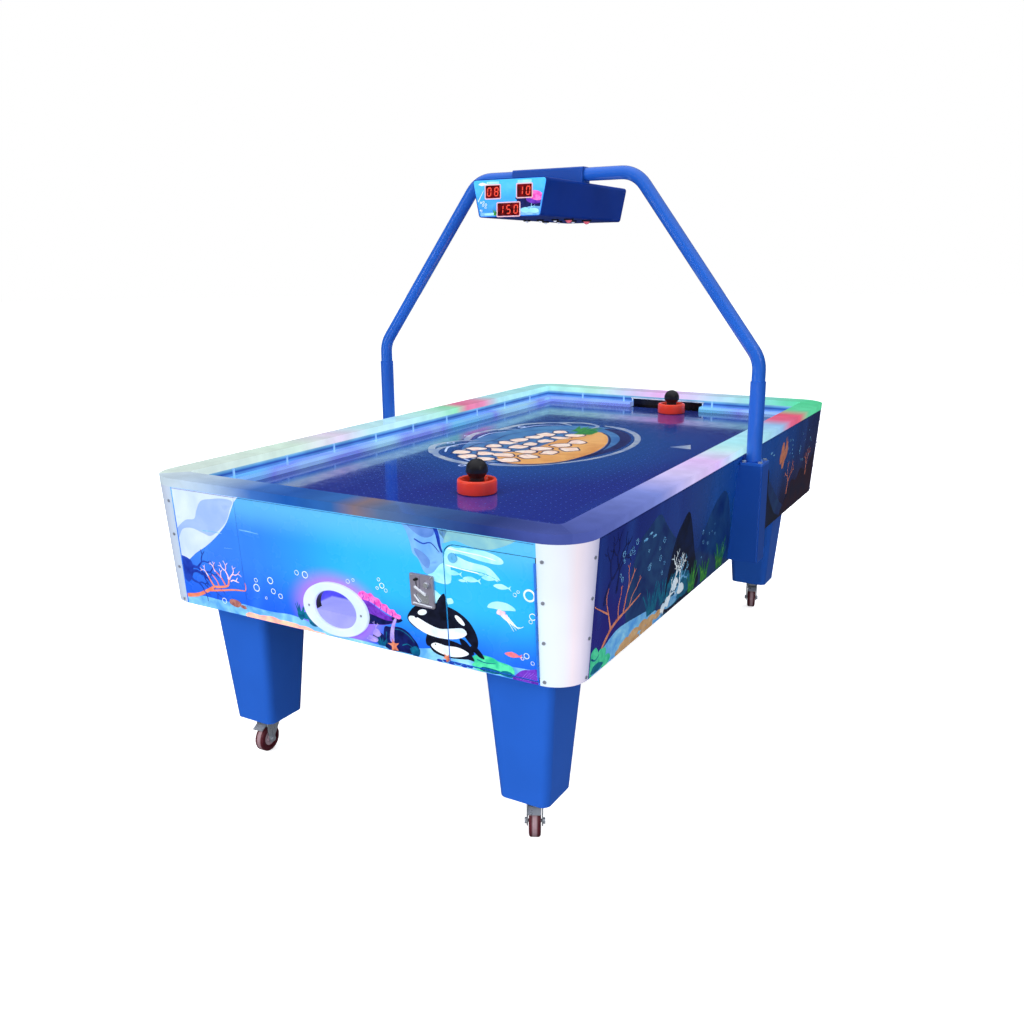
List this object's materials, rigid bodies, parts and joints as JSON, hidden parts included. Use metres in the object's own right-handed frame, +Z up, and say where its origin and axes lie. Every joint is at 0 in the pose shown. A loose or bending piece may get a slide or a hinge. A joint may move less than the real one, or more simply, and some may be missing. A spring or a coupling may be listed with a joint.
{
  "type": "air hockey table",
  "caption": "Coin-operated air hockey table with flared lit cabinet, air-fed playfield, castor legs, and a tube arch carrying an overhead scoreboard.",
  "frame": {"origin": "on the floor below the table's centre", "axes": "+Z up, +Y along the length, the coin end faces -Y, +X to the right seen from the coin end"},
  "size_m": [1.37, 2.1614, 1.588],
  "materials": {
    "side_print": "printed film over board",
    "end_print": "printed film over board",
    "board": "bare fibreboard and timber",
    "corner_glow": "translucent, lit from behind",
    "screw_steel": "zinc plated",
    "light_strip": "lit strip",
    "rail_glow": "translucent, lit from inside",
    "rail_blue_light": "lit diffuser",
    "puck_rail_metal": "brushed",
    "playfield_gloss": "polished printed sheet",
    "blower_sheet": "satin",
    "motor_grey": "cast",
    "impeller_plastic": "moulded",
    "chute_white": "moulded",
    "port_glow": "translucent, lit from behind",
    "coin_metal": "satin",
    "chrome_trim": "polished",
    "cash_steel": "satin",
    "hinge_steel": "satin",
    "black_plastic": "moulded",
    "rocker_red": "moulded",
    "blue_paint": "semi-gloss powder coat",
    "housing_paint": "semi-gloss powder coat",
    "bolt_zinc": "zinc plated",
    "castor_zinc": "bright zinc",
    "wheel_maroon": "moulded polyurethane",
    "score_print": "printed panel",
    "display_red": "tinted window",
    "lamp_clear": "lit lens",
    "circuit_green": "coated board",
    "mallet_red": "moulded",
    "mallet_black": "moulded",
    "puck_yellow": "moulded"
  },
  "bodies": {
    "cabinet": {"side_panels": "side_print", "end_panel_front": "end_print", "end_panel_back": "end_print", "bottom_board": "board", "corner_posts": "board", "corner_covers": "corner_glow", "cover_screws": "screw_steel", "light_strips": "light_strip", "rail_caps": "rail_glow", "rail_corners": "rail_glow", "rail_light_walls": "rail_blue_light", "puck_rails": "puck_rail_metal", "playfield": "playfield_gloss", "air_chamber": "board", "blower_housing": "blower_sheet", "blower_motor": "motor_grey", "goal_chutes": "chute_white", "port_rings": "port_glow", "coin_plate": "coin_metal", "coin_mechanism": "coin_metal", "cash_box": "cash_steel", "door_hinge": "hinge_steel", "power_inlet": "black_plastic", "legs": "blue_paint", "castor_plates": "castor_zinc", "post_boxes": "blue_paint", "post_sleeves": "blue_paint", "arch_tube": "blue_paint", "post_bolts": "bolt_zinc", "scoreboard_housing": "housing_paint", "score_faces": "score_print", "score_displays": "display_red", "scoreboard_saddle": "blue_paint", "scoreboard_lamps": "lamp_clear", "control_board": "circuit_green", "speaker": "blower_sheet"},
    "service_door": {"service_door": "end_print", "door_hinge_leaf": "hinge_steel"},
    "door_lock": {"door_lock": "chrome_trim"},
    "reject_button": {"coin_reject_button": "chrome_trim"},
    "return_flap": {"coin_return_flap": "chrome_trim"},
    "impeller": {"blower_impeller": "impeller_plastic"},
    "power_rocker": {"power_rocker": "rocker_red"},
    "mallet_front": {"mallet_base_front": "mallet_red", "mallet_knob_front": "mallet_black"},
    "mallet_back": {"mallet_base_back": "mallet_red", "mallet_knob_back": "mallet_black"},
    "puck": {"puck": "puck_yellow"},
    "castor_front_left": {"castor_fork_front_left": "castor_zinc"},
    "wheel_front_left": {"castor_wheel_front_left": "wheel_maroon"},
    "pedal_front_left": {"castor_pedal_front_left": "castor_zinc"},
    "castor_front_right": {"castor_fork_front_right": "castor_zinc"},
    "wheel_front_right": {"castor_wheel_front_right": "wheel_maroon"},
    "pedal_front_right": {"castor_pedal_front_right": "castor_zinc"},
    "castor_rear_left": {"castor_fork_rear_left": "castor_zinc"},
    "wheel_rear_left": {"castor_wheel_rear_left": "wheel_maroon"},
    "pedal_rear_left": {"castor_pedal_rear_left": "castor_zinc"},
    "castor_rear_right": {"castor_fork_rear_right": "castor_zinc"},
    "wheel_rear_right": {"castor_wheel_rear_right": "wheel_maroon"},
    "pedal_rear_right": {"castor_pedal_rear_right": "castor_zinc"}
  },
  "joints": [
    {"name": "service_door_hinge", "type": "hinge", "parent": "cabinet", "child": "service_door", "pos_m": [0.5193, -1.0699, 0.60799], "axis": [0, -0.0681, 0.9977], "range_deg": [0, 110]},
    {"name": "door_lock_turn", "type": "hinge", "parent": "service_door", "child": "door_lock", "pos_m": [0.322, -1.07486, 0.71741], "axis": [0, -0.9977, -0.0681], "range_deg": [-90, 0]},
    {"name": "reject_button_push", "type": "slide", "parent": "cabinet", "child": "reject_button", "axis": [0, 0.9977, 0.0681], "range_m": [0, 0.004], "stiffness_N_per_m": 200, "springref_m": -0.002},
    {"name": "return_flap_swing", "type": "hinge", "parent": "cabinet", "child": "return_flap", "pos_m": [0.238, -1.07, 0.6197], "axis": [1, 0, 0], "range_deg": [0, 60]},
    {"name": "impeller_spin", "type": "hinge", "parent": "cabinet", "child": "impeller", "pos_m": [0, 0.25, 0.558], "axis": [1, 0, 0], "continuous": true},
    {"name": "power_rocker_tip", "type": "hinge", "parent": "cabinet", "child": "power_rocker", "pos_m": [0.3, 1.06219, 0.54637], "axis": [1, 0, 0], "range_deg": [0, 16]},
    {"name": "mallet_front_glide", "type": "slide", "parent": "cabinet", "child": "mallet_front", "axis": [0, 1, 0], "range_m": [-0.29, 0.55]},
    {"name": "mallet_back_glide", "type": "slide", "parent": "cabinet", "child": "mallet_back", "axis": [0, 1, 0], "range_m": [-0.82, 0.015]},
    {"name": "puck_out", "type": "slide", "parent": "cabinet", "child": "puck", "axis": [0, 1, 0], "range_m": [0, 0.075]},
    {"name": "castor_front_left_swivel", "type": "hinge", "parent": "cabinet", "child": "castor_front_left", "pos_m": [-0.422, -0.895, 0.1], "axis": [0, 0, 1], "continuous": true},
    {"name": "wheel_front_left_roll", "type": "hinge", "parent": "castor_front_left", "child": "wheel_front_left", "pos_m": [-0.42026, -0.91492, 0.0375], "axis": [0.9962, 0.0872, 0], "continuous": true},
    {"name": "pedal_front_left_press", "type": "hinge", "parent": "castor_front_left", "child": "pedal_front_left", "pos_m": [-0.41939, -0.92489, 0.08], "axis": [0.9962, 0.0872, 0], "range_deg": [0, 9]},
    {"name": "castor_front_right_swivel", "type": "hinge", "parent": "cabinet", "child": "castor_front_right", "pos_m": [0.422, -0.895, 0.1], "axis": [0, 0, 1], "continuous": true},
    {"name": "wheel_front_right_roll", "type": "hinge", "parent": "castor_front_right", "child": "wheel_front_right", "pos_m": [0.43108, -0.91282, 0.0375], "axis": [0.891, 0.454, 0], "continuous": true},
    {"name": "pedal_front_right_press", "type": "hinge", "parent": "castor_front_right", "child": "pedal_front_right", "pos_m": [0.43562, -0.92173, 0.08], "axis": [0.891, 0.454, 0], "range_deg": [0, 9]},
    {"name": "castor_rear_left_swivel", "type": "hinge", "parent": "cabinet", "child": "castor_rear_left", "pos_m": [-0.422, 0.895, 0.1], "axis": [0, 0, 1], "continuous": true},
    {"name": "wheel_rear_left_roll", "type": "hinge", "parent": "castor_rear_left", "child": "wheel_rear_left", "pos_m": [-0.42547, 0.8753, 0.0375], "axis": [0.9848, -0.1736, 0], "continuous": true},
    {"name": "pedal_rear_left_press", "type": "hinge", "parent": "castor_rear_left", "child": "pedal_rear_left", "pos_m": [-0.42721, 0.86546, 0.08], "axis": [0.9848, -0.1736, 0], "range_deg": [0, 9]},
    {"name": "castor_rear_right_swivel", "type": "hinge", "parent": "cabinet", "child": "castor_rear_right", "pos_m": [0.422, 0.895, 0.1], "axis": [0, 0, 1], "continuous": true},
    {"name": "wheel_rear_right_roll", "type": "hinge", "parent": "castor_rear_right", "child": "wheel_rear_right", "pos_m": [0.42818, 0.87598, 0.0375], "axis": [0.9511, 0.309, 0], "continuous": true},
    {"name": "pedal_rear_right_press", "type": "hinge", "parent": "castor_rear_right", "child": "pedal_rear_right", "pos_m": [0.43127, 0.86647, 0.08], "axis": [0.9511, 0.309, 0], "range_deg": [0, 9]}
  ]
}
